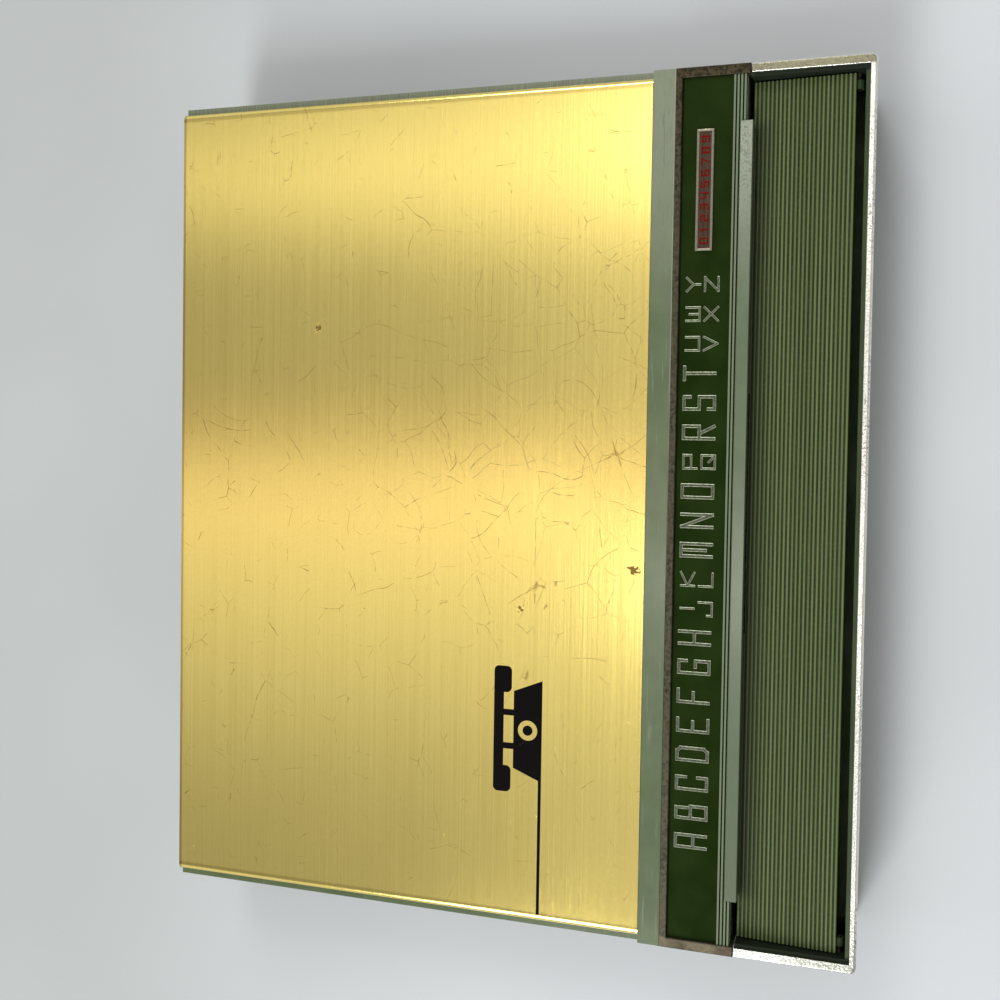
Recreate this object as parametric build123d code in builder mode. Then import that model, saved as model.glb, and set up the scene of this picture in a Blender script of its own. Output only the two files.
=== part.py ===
from math import atan2, cos, degrees, hypot, pi, radians, sin
import os

from build123d import *

# A pop-up telephone index: a shallow tray with a hinged lid, a stack of tabbed leaves on a
# rod and a ribbed plate at the front that is pressed to let the lid spring up.
# Frame: X to the user's right, -Y towards the user, +Z up, Z = 0 on the table.
# Heights are named *_z, positions along Y *_y. All sizes are in millimetres.
os.makedirs("parts", exist_ok=True)

# Overall size
width = 166.0
depth = 142.0
height = 24.0
half_width = width / 2
front_y = -depth / 2
rear_y = depth / 2
fit_gap = 0.03

# Chrome frame round the front bay
bay_depth = 21.95
frame_side = 1.75
frame_front = 1.2
frame_height = 1.6
frame_corner = 1.1
frame_round = 0.45
frame_edge = 0.15
frame_end_y = front_y + bay_depth
frame_seat_z = height - frame_height

# Hinge of the lid
ear_radius = 4.8
hinge_y = rear_y - ear_radius
hinge_z = 12.5
relief_radius = ear_radius + 0.3
barrel_angle = 60.0
pin_radius = 1.5
pin_clearance = 0.08
lug_radius = 3.0
lug_width = 2.8
lug_toe = 10.0
lug_heel = 2.4
lug_waist = 1.6
lug_waist_drop = 2.5
lug_shoulder = 2.6
lug_shoulder_rise = 1.4
pin_edge = 0.2
pin_recess = 0.15
pin_past_spring = 0.8

# Tray
foot_height = 1.5
floor = 1.5
floor_z = foot_height + floor
tray_overhang = 0.4
tray_half = half_width - tray_overhang
tray_draft = 2.0
rim = 0.72
rim_z = height - 0.5
tray_inner_half = half_width - frame_side - fit_gap - rim
tray_inner_front_y = front_y + frame_front + fit_gap + rim
tray_inner_rear_y = rear_y - 1.8
tray_rim_z = hinge_z - 0.8
rear_wall_z = hinge_z - ear_radius - 0.7
partition = 1.4
partition_front_y = frame_end_y + partition
lug_outer_x = tray_inner_half + rim
lug_inner_x = lug_outer_x - lug_width

# Lid
lid_gap = 0.3
lid_wall = 1.4
lid_roof = 1.5
lid_bottom_z = tray_rim_z + lid_gap
lid_arm_gap = 0.25
lid_arm_end_y = frame_end_y + lid_arm_gap
lid_front_y = lid_arm_end_y + 0.6
lid_deck_z = height - 0.5
lid_roof_z = lid_deck_z - lid_roof
flange_z = lid_deck_z - 1.2
plain_band_z = height - 0.25
strip_seat_z = height - 1.2
plateau_edge = 0.9
barrel_inner = ear_radius - lid_wall
barrel_start = 0.5
ear_inner_x = half_width - lid_wall

# Index strip, its trim and the finger lip
strip_depth = 13.35
trim_back = 1.45
trim_arm = 1.85
trim_edge = 0.15
trim_back_y = lid_front_y + strip_depth
strip_half = half_width - trim_arm - fit_gap
strip_back_y = trim_back_y - trim_back - fit_gap
strip_front_y = lid_front_y + 0.1
strip_z = strip_seat_z + 0.4
ridge_count = 4
ridge_pitch = 0.637
ridge_first_y = strip_front_y + 2.16
ridge_width = 0.36
ridge_height = 0.5
lip_half = half_width - 10.4
lip_back_y = lid_front_y + 1.1
lip_front_y = frame_end_y - 0.3
lip_leg_z = height - 2.5
lip_edge = 0.1
lip_under_z = strip_z + ridge_height + 0.05

# Gold cover plate
band_depth = 4.15
sheet = 0.4
plate_half = half_width - 1.3
plate_front_y = trim_back_y + band_depth
plate_rear_y = rear_y - 0.1
plate_top_z = lid_deck_z + sheet
plate_fold = 1.2
plate_bottom_z = flange_z + 0.1
plateau_half = plate_half - sheet - 0.05

# Telephone sign on the gold plate
mark_x = -plate_half + 37.7
mark_y = plate_front_y + 19.7
mark_base = 20.0
mark_side_angle = 68.0
mark_body_height = 5.8
mark_height = 9.9
mark_length = 25.0
mark_grip = 2.0
mark_grip_round = 0.95
mark_cup = 5.2
mark_cup_round = 1.0
mark_cup_height = 3.6
mark_dial = 2.0
mark_post = 1.2
mark_line = 0.6
mark_line_lap = 0.5
mark_line_end = -plate_half + 1.4
mark_thickness = 0.06

# Ribbed push plate
push_half = tray_inner_half - 0.4
push_front_y = front_y + 3.6
push_rear_gap = 0.35
push_rear_y = lid_arm_end_y - push_rear_gap
push_front_z = height - 2.0
push_rear_z = push_front_z - 1.4
push_thickness = 1.5
push_skirt = 3.2
push_skirt_lap = 0.2
push_skirt_y = push_front_y + 2.5
push_slope = (push_front_z - push_rear_z) / (push_rear_y - push_front_y)
push_skirt_drop = push_slope * (push_skirt_y - push_front_y)
push_notch_gap = 0.5
rib_count = 24
rib_radius = 0.27
rib_pitch = (push_rear_y - push_front_y - 2 * rib_radius) / (rib_count - 1)
pivot_y = push_front_y - 0.4
pivot_z = push_front_z - 1.6
pivot_ring = 0.9
pivot_pin = 0.5
pivot_clearance = 0.06
pivot_ring_width = 1.6
pivot_ring_x = push_half - 1.75
pivot_bore = 1.2
pivot_web = 1.0
pivot_web_drop = 0.2
pivot_reach = 0.3

# Springs
push_spring_x = 0.69 * push_half
push_spring_y = push_rear_y - 5.8
push_spring_radius = 2.6
push_spring_wire = 0.3
push_spring_turns = 6
push_spring_top_z = push_rear_z - push_thickness + 0.15
spring_boss_radius = 1.9
spring_boss_z = floor_z + 2.5
lid_spring_x = lug_inner_x - 5.3
lid_spring_radius = pin_radius + 0.5
lid_spring_wire = 0.3
lid_spring_pitch = 1.05
lid_spring_turns = 3
lid_spring_base_angle = -20.0
lid_spring_roof_angle = 60.0
notch_inner_x = lid_spring_x - 1.5
notch_top_z = hinge_z + 3.3

# Catch
catch_half = 18.0
catch_sheet = 0.4
catch_y = frame_end_y - 0.7
catch_foot_y = catch_y - 6.0
ledge_half = catch_half + 4.0
ledge_y = lid_front_y - 0.8
ledge_z = tray_rim_z + 4.9
ledge_height = 1.0
nose_gap = 0.2
nose_hook = 0.45
nose_root = 0.25
catch_ramp = 1.6
catch_ramp_tip = 1.9
catch_ramp_drop = 0.3
catch_ramp_z = push_rear_z - push_thickness - 0.8
rivet_x = catch_half - 6.0
rivet_radius = 1.4
rivet_height = 0.6
rivet_edge = 0.3

# Leaves, from the top one down
letter_groups = "A B C D E F G H IJ KL M N O PQ R S T UV WX YZ".split()
leaf_count = len(letter_groups) + 1
post_outer_x = lug_inner_x - 4.0
post_inner_x = post_outer_x - 2.2
post_half_y = 2.6
rod_y = hinge_y - 7.2
rod_z = hinge_z - 2.9
rod_radius = 1.0
rod_half = post_outer_x + 0.2
post_z = rod_z + 1.8
leaf_half = post_inner_x - 1.7
leaf_front_y = lid_front_y + 10.2
leaf_rear_y = rod_y - 4.8
leaf_thickness = 0.3
leaf_low_z = floor_z + 1.4
leaf_pitch = 0.6
tab_front_y = leaf_front_y - 5.5
knuckle_radius = 1.85
knuckle_clearance = 0.08
arm_width = 2.0
arm_margin = 4.9
arm_slot = 2 * (leaf_half - arm_margin) / (2 * leaf_count - 1)
arm_sheet = 0.7
arm_drop_y = leaf_rear_y + 1.0
arm_drop = 1.2
liner_sheet = 0.35
liner_half = leaf_half + 0.5
liner_front_y = leaf_front_y - 2.0
liner_rear_y = leaf_rear_y + 0.8

# Lettering: one letter or one pair to each leaf, then a plate of plain numbers
number_length = 22.5
number_height = 3.15
number_rim = 0.45
number_thickness = 0.45
number_floor = 0.3
number_x = leaf_half + 1.0 - number_length / 2
letter_width = 2.9
letter_height = 6.3
letter_first_x = -leaf_half + 8.25
letter_last_x = number_x - number_length / 2 - 6.2
letter_pitch = (letter_last_x - letter_first_x) / (len(letter_groups) - 1)
letter_centre_y = trim_back_y - 5.6
pair_height = 2.9
pair_back_y = letter_centre_y + 1.5
pair_front_y = letter_centre_y - 1.9
stroke = 0.6
pair_stroke = 0.42
foil = 0.12
tab_width = 0.96 * letter_pitch
number_y = letter_centre_y - 0.25
digit_width = 1.15
digit_height = 1.55
digit_pitch = (number_length - 2 * number_rim - 2 * digit_width) / 9.2
digit_stroke = 0.2
digit_raise = 0.12

# Feet
foot_radius = 5.0
foot_x = half_width - 13.0
foot_y = depth / 2 - 13.0
foot_edge = 0.4

STROKES = {
    "A": [[(0, 0), (0, 1), (1, 1), (1, 0)], [(0, 0.42), (1, 0.42)]],
    "B": [[(0, 0), (0, 1), (0.85, 1), (0.85, 0.52), (0, 0.52)], [(0.85, 0.52), (1, 0.52), (1, 0), (0, 0)]],
    "C": [[(1, 0.7), (1, 1), (0, 1), (0, 0), (1, 0), (1, 0.3)]],
    "D": [[(0, 0), (0, 1), (0.75, 1), (1, 0.88), (1, 0.12), (0.75, 0), (0, 0)]],
    "E": [[(1, 1), (0, 1), (0, 0), (1, 0)], [(0, 0.5), (0.8, 0.5)]],
    "F": [[(1, 1), (0, 1), (0, 0)], [(0, 0.5), (0.8, 0.5)]],
    "G": [[(1, 0.75), (1, 1), (0, 1), (0, 0), (1, 0), (1, 0.45), (0.5, 0.45)]],
    "H": [[(0, 0), (0, 1)], [(1, 0), (1, 1)], [(0, 0.5), (1, 0.5)]],
    "I": [[(0.5, 0), (0.5, 1)]],
    "J": [[(1, 1), (1, 0), (0, 0), (0, 0.35)]],
    "K": [[(0, 0), (0, 1)], [(1, 1), (0, 0.5), (1, 0)]],
    "L": [[(0, 1), (0, 0), (1, 0)]],
    "M": [[(0, 0), (0, 1), (1, 1), (1, 0)], [(0.5, 1), (0.5, 0.2)]],
    "N": [[(0, 0), (0, 1), (1, 0), (1, 1)]],
    "O": [[(0, 0), (0, 1), (1, 1), (1, 0), (0, 0)]],
    "P": [[(0, 0), (0, 1), (1, 1), (1, 0.42), (0, 0.42)]],
    "Q": [[(0, 0), (0, 1), (1, 1), (1, 0), (0, 0)], [(0.5, 0.45), (1, 0)]],
    "R": [[(0, 0), (0, 1), (1, 1), (1, 0.48), (0, 0.48)], [(0.4, 0.48), (1, 0)]],
    "S": [[(1, 0.8), (1, 1), (0, 1), (0, 0.5), (1, 0.5), (1, 0), (0, 0), (0, 0.2)]],
    "T": [[(0, 1), (1, 1)], [(0.5, 1), (0.5, 0)]],
    "U": [[(0, 1), (0, 0), (1, 0), (1, 1)]],
    "V": [[(0, 1), (0.5, 0), (1, 1)]],
    "W": [[(0, 1), (0, 0), (1, 0), (1, 1)], [(0.5, 0), (0.5, 0.75)]],
    "X": [[(0, 0), (1, 1)], [(0, 1), (1, 0)]],
    "Y": [[(0, 1), (0.5, 0.5), (1, 1)], [(0.5, 0.5), (0.5, 0)]],
    "Z": [[(0, 1), (1, 1), (0, 0), (1, 0)]],
    "0": [[(0, 0), (0, 1), (1, 1), (1, 0), (0, 0)]],
    "1": [[(0.2, 0.75), (0.5, 1), (0.5, 0)]],
    "2": [[(0, 1), (1, 1), (1, 0.5), (0, 0.5), (0, 0), (1, 0)]],
    "3": [[(0, 1), (1, 1), (1, 0), (0, 0)], [(0.2, 0.5), (1, 0.5)]],
    "4": [[(0, 1), (0, 0.45), (1, 0.45)], [(1, 1), (1, 0)]],
    "5": [[(1, 1), (0, 1), (0, 0.5), (1, 0.5), (1, 0), (0, 0)]],
    "6": [[(1, 1), (0, 1), (0, 0), (1, 0), (1, 0.5), (0, 0.5)]],
    "7": [[(0, 1), (1, 1), (0.45, 0)]],
    "8": [[(0, 0), (0, 1), (1, 1), (1, 0), (0, 0)], [(0, 0.5), (1, 0.5)]],
    "9": [[(0, 0), (1, 0), (1, 1), (0, 1), (0, 0.5), (1, 0.5)]],
}


def slab(x, y, z, mode=Mode.ADD):
    """Adds or cuts the box between a pair of X, a pair of Y and a pair of Z."""
    with Locations(((x[0] + x[1]) / 2, (y[0] + y[1]) / 2, (z[0] + z[1]) / 2)):
        Box(x[1] - x[0], y[1] - y[0], z[1] - z[0], mode=mode)


def one_side(side, near, far):
    """The pair of X between two distances from the middle, on the left (-1) or the right (1)."""
    return (near, far) if side > 0 else (-far, -near)


def rod_along_x(x, y, z, radius, mode=Mode.ADD):
    """Adds or cuts a round bar along X between a pair of X, with its axis at y, z."""
    with Locations(Location(((x[0] + x[1]) / 2, y, z), (0, 90, 0))):
        Cylinder(radius, x[1] - x[0], mode=mode)


def draw_glyph(character, centre_x, centre_y, glyph_width, glyph_height, line):
    """Draws one character as straight strokes of an even width in the open sketch."""
    for run in STROKES[character]:
        points = [
            (centre_x + (u - 0.5) * (glyph_width - line), centre_y + (v - 0.5) * (glyph_height - line))
            for u, v in run
        ]
        for (x0, y0), (x1, y1) in zip(points, points[1:]):
            angle = degrees(atan2(y1 - y0, x1 - x0))
            with Locations(Location(((x0 + x1) / 2, (y0 + y1) / 2, 0), (0, 0, angle))):
                Rectangle(hypot(x1 - x0, y1 - y0) + line, line)


# ---------------------------------------------------------------- tray and its fixed parts

with BuildPart() as base_tray:
    with BuildSketch(Plane.XY.offset(rim_z)):
        with Locations((0, tray_overhang / 2)):
            Rectangle(2 * tray_half, depth - tray_overhang)
    extrude(amount=foot_height - rim_z, taper=tray_draft)
    # Everything behind the front bay is lower, and the wall is lowest behind the hinge.
    slab((-half_width, half_width), (frame_end_y, rear_y), (tray_rim_z, rim_z), Mode.SUBTRACT)
    slab((-half_width, half_width), (hinge_y, rear_y), (rear_wall_z, tray_rim_z), Mode.SUBTRACT)
    rod_along_x((-half_width, half_width), hinge_y, hinge_z, relief_radius, Mode.SUBTRACT)
    # Hollow.
    slab(
        (-tray_inner_half, tray_inner_half),
        (tray_inner_front_y, tray_inner_rear_y),
        (floor_z, rim_z),
        Mode.SUBTRACT,
    )
    # Seat of the chrome frame, outside a thin upstanding rim.
    for side in (-1, 1):
        across = one_side(side, half_width - frame_side - fit_gap, half_width)
        slab(across, (front_y, frame_end_y), (frame_seat_z, rim_z), Mode.SUBTRACT)
    slab(
        (-half_width, half_width),
        (front_y, front_y + frame_front + fit_gap),
        (frame_seat_z, rim_z),
        Mode.SUBTRACT,
    )
    # Wall between the front bay and the leaves.
    slab(
        (-tray_inner_half, tray_inner_half),
        (partition_front_y, partition_front_y + partition),
        (floor_z, tray_rim_z),
    )
    # Bosses that hold the two springs of the push plate.
    with Locations(
        (-push_spring_x, push_spring_y, floor_z), (push_spring_x, push_spring_y, floor_z)
    ):
        Cylinder(
            spring_boss_radius,
            spring_boss_z - floor_z,
            align=(Align.CENTER, Align.CENTER, Align.MIN),
        )
    for side in (-1, 1):
        # Lug of the lid's hinge pin: it leans back so that the opened lid clears it.
        inner = side * lug_inner_x
        with BuildSketch(Plane.YZ.offset(inner)):
            with BuildLine():
                Polyline(
                    (hinge_y - lug_toe, floor_z),
                    (hinge_y - lug_heel, floor_z),
                    (hinge_y - lug_waist, hinge_z - lug_waist_drop),
                    (hinge_y, hinge_z),
                    (hinge_y - lug_shoulder, hinge_z + lug_shoulder_rise),
                    close=True,
                )
            make_face()
            with Locations((hinge_y, hinge_z)):
                Circle(lug_radius)
        extrude(amount=side * (lug_outer_x - lug_inner_x))
        # Post of the leaf rod.
        across = one_side(side, post_inner_x, post_outer_x)
        slab(across, (rod_y - post_half_y, rod_y + post_half_y), (floor_z, post_z))
    # Holes of the hinge pins, the leaf rod and the push plate's pins.
    rod_along_x((-lug_outer_x, lug_outer_x), hinge_y, hinge_z, pin_radius, Mode.SUBTRACT)
    rod_along_x((-rod_half, rod_half), rod_y, rod_z, rod_radius, Mode.SUBTRACT)
    for side in (-1, 1):
        across = one_side(side, tray_inner_half, tray_inner_half + pivot_bore)
        rod_along_x(across, pivot_y, pivot_z, pivot_pin, Mode.SUBTRACT)
base_tray.part.label = "base_tray"
export_step(base_tray.part, "parts/base_tray.step")

with BuildPart() as rubber_feet:
    with Locations(
        (-foot_x, -foot_y, 0), (foot_x, -foot_y, 0), (-foot_x, foot_y, 0), (foot_x, foot_y, 0)
    ):
        Cylinder(foot_radius, foot_height, align=(Align.CENTER, Align.CENTER, Align.MIN))
    chamfer(rubber_feet.faces().sort_by(Axis.Z)[:4].edges(), foot_edge)
rubber_feet.part.label = "rubber_feet"
export_step(rubber_feet.part, "parts/rubber_feet.step")

with BuildPart() as front_frame:
    with BuildSketch(Plane.XY.offset(frame_seat_z)):
        with BuildLine():
            Polyline(
                (-half_width, frame_end_y),
                (-half_width, front_y),
                (half_width, front_y),
                (half_width, frame_end_y),
                (half_width - frame_side, frame_end_y),
                (half_width - frame_side, front_y + frame_front),
                (-half_width + frame_side, front_y + frame_front),
                (-half_width + frame_side, frame_end_y),
                close=True,
            )
        make_face()
    extrude(amount=height - frame_seat_z)
    corners = front_frame.edges().filter_by(Axis.Z).group_by(Axis.Y)[0]
    fillet(corners, frame_corner)
    # The outer top edge is rolled over, and the others are only eased.
    outer_edges = front_frame.faces().sort_by(Axis.Z)[-1].edges().filter_by(
        lambda edge: abs(edge.center().X) > half_width - frame_corner / 2
        or edge.center().Y < front_y + frame_corner / 2
    )
    fillet(outer_edges, frame_round)
    inner_edges = front_frame.faces().sort_by(Axis.Z)[-1].edges().filter_by(
        lambda edge: abs(edge.center().X) < half_width - frame_side + 0.01
        and edge.center().Y > front_y + frame_front - 0.01
    )
    fillet(inner_edges, frame_edge)
front_frame.part.label = "front_frame"
export_step(front_frame.part, "parts/front_frame.step")

with BuildPart() as lid_pins:
    for side in (-1, 1):
        across = one_side(side, lid_spring_x - pin_past_spring, half_width - pin_recess)
        rod_along_x(across, hinge_y, hinge_z, pin_radius)
    chamfer(lid_pins.edges().filter_by(GeomType.CIRCLE), pin_edge)
lid_pins.part.label = "lid_pins"
export_step(lid_pins.part, "parts/lid_pins.step")

with BuildPart() as leaf_rod:
    rod_along_x((-rod_half, rod_half), rod_y, rod_z, rod_radius)
    chamfer(leaf_rod.edges().filter_by(GeomType.CIRCLE), pin_edge)
leaf_rod.part.label = "leaf_rod"
export_step(leaf_rod.part, "parts/leaf_rod.step")

with BuildPart() as push_pins:
    for side in (-1, 1):
        across = one_side(
            side, pivot_ring_x - pivot_ring_width / 2 - pivot_reach, tray_inner_half + pivot_bore
        )
        rod_along_x(across, pivot_y, pivot_z, pivot_pin)
push_pins.part.label = "push_pins"
export_step(push_pins.part, "parts/push_pins.step")

# Spring-steel catch: a foot on the floor, an upright blade, a nose over the lid's ledge
# and a ramp under the push plate.
nose_z = ledge_z + nose_gap
with BuildPart() as catch_spring:
    with BuildSketch(Plane.YZ.offset(-catch_half)):
        with BuildLine():
            Polyline(
                (catch_foot_y, floor_z),
                (catch_y, floor_z),
                (catch_y, nose_z),
                (ledge_y + nose_hook, nose_z),
                (ledge_y + nose_hook, nose_z + catch_sheet),
                (catch_y - catch_sheet, nose_z + catch_sheet),
                (catch_y - catch_ramp, catch_ramp_z + catch_sheet),
                (catch_y - catch_ramp_tip, catch_ramp_z + catch_sheet - catch_ramp_drop),
                (catch_y - catch_sheet, nose_z - nose_root),
                (catch_y - catch_sheet, floor_z + catch_sheet),
                (catch_foot_y, floor_z + catch_sheet),
                close=True,
            )
        make_face()
    extrude(amount=2 * catch_half)
catch_spring.part.label = "catch_spring"
export_step(catch_spring.part, "parts/catch_spring.step")

with BuildPart() as catch_rivets:
    rivet_y = (catch_foot_y + catch_y) / 2
    with Locations(
        (-rivet_x, rivet_y, floor_z + catch_sheet), (rivet_x, rivet_y, floor_z + catch_sheet)
    ):
        Cylinder(rivet_radius, rivet_height, align=(Align.CENTER, Align.CENTER, Align.MIN))
    fillet(catch_rivets.faces().sort_by(Axis.Z)[-2:].edges(), rivet_edge)
catch_rivets.part.label = "catch_rivets"
export_step(catch_rivets.part, "parts/catch_rivets.step")

# ---------------------------------------------------------------- push plate and its springs

with BuildPart() as push_plate:
    with BuildSketch(Plane.YZ.offset(-push_half)):
        with BuildLine():
            Polyline(
                (push_front_y, push_front_z),
                (push_rear_y, push_rear_z),
                (push_rear_y, push_rear_z - push_thickness),
                (push_front_y, push_front_z - push_thickness),
                close=True,
            )
        make_face()
        rib_ys = [push_front_y + rib_radius + index * rib_pitch for index in range(rib_count)]
        with Locations([(y, push_front_z - push_slope * (y - push_front_y)) for y in rib_ys]):
            Circle(rib_radius)
    extrude(amount=2 * push_half)
    # The lid's ledge passes this notch as the lid opens.
    slab(
        (-ledge_half - push_notch_gap, ledge_half + push_notch_gap),
        (ledge_y - push_notch_gap, push_rear_y),
        (push_rear_z - push_thickness, push_front_z),
        Mode.SUBTRACT,
    )
    # Skirts at the two ends follow the slope; a ring for each pivot pin is at the front edge.
    for side in (-1, 1):
        across = one_side(side, push_half - push_thickness, push_half)
        with BuildSketch(Plane.YZ.offset(across[0])):
            with BuildLine():
                Polyline(
                    (push_skirt_y, push_front_z - push_thickness + push_skirt_lap - push_skirt_drop),
                    (push_rear_y, push_rear_z - push_thickness + push_skirt_lap),
                    (push_rear_y, push_rear_z - push_thickness - push_skirt),
                    (push_skirt_y, push_rear_z - push_thickness - push_skirt),
                    close=True,
                )
            make_face()
        extrude(amount=across[1] - across[0])
        across = one_side(side, pivot_ring_x - pivot_ring_width / 2, pivot_ring_x + pivot_ring_width / 2)
        rod_along_x(across, pivot_y, pivot_z, pivot_ring)
        slab(across, (pivot_y, push_front_y + pivot_web), (pivot_z - pivot_web_drop, pivot_z + pivot_ring))
        # The hole of the pin also clears the underside of the plate beside the ring.
        across = one_side(side, pivot_ring_x - pivot_ring_width / 2 - 2 * pivot_reach, push_half)
        rod_along_x(across, pivot_y, pivot_z, pivot_pin + pivot_clearance, Mode.SUBTRACT)
push_plate.part.label = "push_plate"
export_step(push_plate.part, "parts/push_plate.step")

push_spring_pitch = (push_spring_top_z - floor_z - 2 * push_spring_wire) / push_spring_turns
for name, side in (("push_spring_left", -1), ("push_spring_right", 1)):
    with BuildPart() as push_spring:
        with BuildLine() as coil:
            Helix(
                push_spring_pitch,
                push_spring_pitch * push_spring_turns,
                push_spring_radius,
                center=(side * push_spring_x, push_spring_y, floor_z + push_spring_wire),
            )
        with BuildSketch(Plane(coil.line @ 0, z_dir=coil.line % 0)):
            Circle(push_spring_wire)
        sweep(path=coil.line, is_frenet=True)
    push_spring.part.label = name
    export_step(push_spring.part, f"parts/{name}.step")
print("push spring: gap between turns", round(push_spring_pitch - 2 * push_spring_wire, 2))

# ---------------------------------------------------------------- lid

with BuildPart() as lid_shell:
    slab((-half_width, half_width), (lid_arm_end_y, rear_y), (lid_bottom_z, flange_z))
    slab((-plateau_half, plateau_half), (plate_front_y, plate_rear_y), (flange_z, lid_deck_z))
    plateau_long_edges = (
        lid_shell.edges().filter_by(Axis.Y).group_by(Axis.Z)[-1].sort_by(Axis.X)
    )
    fillet([plateau_long_edges[0], plateau_long_edges[-1]], plateau_edge)
    # Plain band in front of the gold plate, then the lower seat of strip and trim.
    slab((-half_width, half_width), (trim_back_y, plate_front_y - fit_gap), (flange_z, plain_band_z))
    slab((-half_width, half_width), (lid_arm_end_y, trim_back_y), (flange_z, strip_seat_z))
    # Only the trim's arms reach past the front wall.
    slab(
        (-strip_half, strip_half),
        (lid_arm_end_y, lid_front_y),
        (lid_bottom_z, strip_seat_z),
        Mode.SUBTRACT,
    )
    # Hollow: it is open below and the hinge side is closed by the rear wall.
    slab(
        (-(half_width - lid_wall), half_width - lid_wall),
        (lid_front_y + lid_wall, rear_y - lid_wall),
        (lid_bottom_z, lid_roof_z),
        Mode.SUBTRACT,
    )
    # The rear edge is rolled round the hinge axis.
    slab(
        (-half_width, half_width), (hinge_y - barrel_start, rear_y), (lid_bottom_z, hinge_z), Mode.SUBTRACT
    )
    with BuildSketch(Plane.YZ.offset(-half_width)):
        with BuildLine():
            turn = radians(-barrel_angle)
            Line((hinge_y + barrel_inner, hinge_z), (hinge_y + ear_radius, hinge_z))
            CenterArc((hinge_y, hinge_z), ear_radius, 0, -barrel_angle)
            Line(
                (hinge_y + ear_radius * cos(turn), hinge_z + ear_radius * sin(turn)),
                (hinge_y + barrel_inner * cos(turn), hinge_z + barrel_inner * sin(turn)),
            )
            CenterArc((hinge_y, hinge_z), barrel_inner, 0, -barrel_angle)
        make_face()
    extrude(amount=width)
    for side in (-1, 1):
        # Gap in the rolled edge for the lug and the spring, and the ear on the hinge pin.
        across = one_side(side, notch_inner_x, ear_inner_x)
        slab(across, (hinge_y, rear_y), (hinge_z - ear_radius, notch_top_z), Mode.SUBTRACT)
        across = one_side(side, ear_inner_x, half_width)
        rod_along_x(across, hinge_y, hinge_z, ear_radius)
        rod_along_x(across, hinge_y, hinge_z, pin_radius + pin_clearance, Mode.SUBTRACT)
    # Ledge that the catch holds.
    slab((-ledge_half, ledge_half), (ledge_y, lid_front_y), (ledge_z - ledge_height, ledge_z))
lid_shell.part.label = "lid_shell"
export_step(lid_shell.part, "parts/lid_shell.step")

with BuildPart() as gold_plate:
    # The section is the top of a rounded tube, which gives the two folded ends.
    tube_height = 4 * plate_fold
    with BuildSketch(Plane.XZ.offset(-plate_rear_y)):
        with Locations((0, plate_top_z - tube_height / 2)):
            RectangleRounded(2 * plate_half, tube_height, plate_fold)
            RectangleRounded(
                2 * (plate_half - sheet), tube_height - 2 * sheet, plate_fold - sheet, mode=Mode.SUBTRACT
            )
        with Locations((0, plate_bottom_z)):
            Rectangle(2 * plate_half, tube_height, align=(Align.CENTER, Align.MAX), mode=Mode.SUBTRACT)
    extrude(amount=plate_rear_y - plate_front_y)
gold_plate.part.label = "gold_plate"
export_step(gold_plate.part, "parts/gold_plate.step")

# Flat sign of a desk telephone, and the thin line that it stands on.
with BuildPart() as telephone_mark:
    with BuildSketch(Plane.XY.offset(plate_top_z)):
        with Locations((mark_x, mark_y)):
            Trapezoid(mark_base, mark_body_height, mark_side_angle, align=(Align.CENTER, Align.MIN))
        with Locations((mark_x, mark_y + mark_body_height / 2)):
            Circle(mark_dial, mode=Mode.SUBTRACT)
            Circle(mark_dial / 2)
        with Locations((mark_x, mark_y + mark_height - mark_grip / 2)):
            RectangleRounded(mark_length, mark_grip, mark_grip_round)
        for side in (-1, 1):
            cup_x = mark_x + side * (mark_length - mark_cup) / 2
            with Locations((cup_x, mark_y + mark_height - mark_cup_height / 2)):
                RectangleRounded(mark_cup, mark_cup_height, mark_cup_round)
            with Locations((mark_x + side * mark_base / 6, mark_y + mark_body_height)):
                Rectangle(
                    mark_post,
                    mark_height - mark_body_height - mark_grip / 2,
                    align=(Align.CENTER, Align.MIN),
                )
        with Locations((mark_line_end, mark_y)):
            Rectangle(
                mark_x - mark_base / 2 + mark_line_lap - mark_line_end,
                mark_line,
                align=(Align.MIN, Align.MIN),
            )
    extrude(amount=mark_thickness)
telephone_mark.part.label = "telephone_mark"
export_step(telephone_mark.part, "parts/telephone_mark.step")

with BuildPart() as strip_bezel:
    trim_inner = half_width - trim_arm
    with BuildSketch(Plane.XY.offset(strip_seat_z)):
        with BuildLine():
            Polyline(
                (-half_width, lid_arm_end_y),
                (-half_width, trim_back_y),
                (half_width, trim_back_y),
                (half_width, lid_arm_end_y),
                (trim_inner, lid_arm_end_y),
                (trim_inner, trim_back_y - trim_back),
                (-trim_inner, trim_back_y - trim_back),
                (-trim_inner, lid_arm_end_y),
                close=True,
            )
        make_face()
    extrude(amount=height - strip_seat_z)
    chamfer(strip_bezel.faces().sort_by(Axis.Z)[-1].edges(), trim_edge)
strip_bezel.part.label = "strip_bezel"
export_step(strip_bezel.part, "parts/strip_bezel.step")

with BuildPart() as index_strip:
    slab((-strip_half, strip_half), (strip_front_y, strip_back_y), (strip_seat_z, strip_z))
    for index in range(ridge_count):
        ridge_y = ridge_first_y - index * ridge_pitch
        slab(
            (-strip_half, strip_half),
            (ridge_y - ridge_width / 2, ridge_y + ridge_width / 2),
            (strip_z, strip_z + ridge_height),
        )
index_strip.part.label = "index_strip"
export_step(index_strip.part, "parts/index_strip.step")

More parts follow.
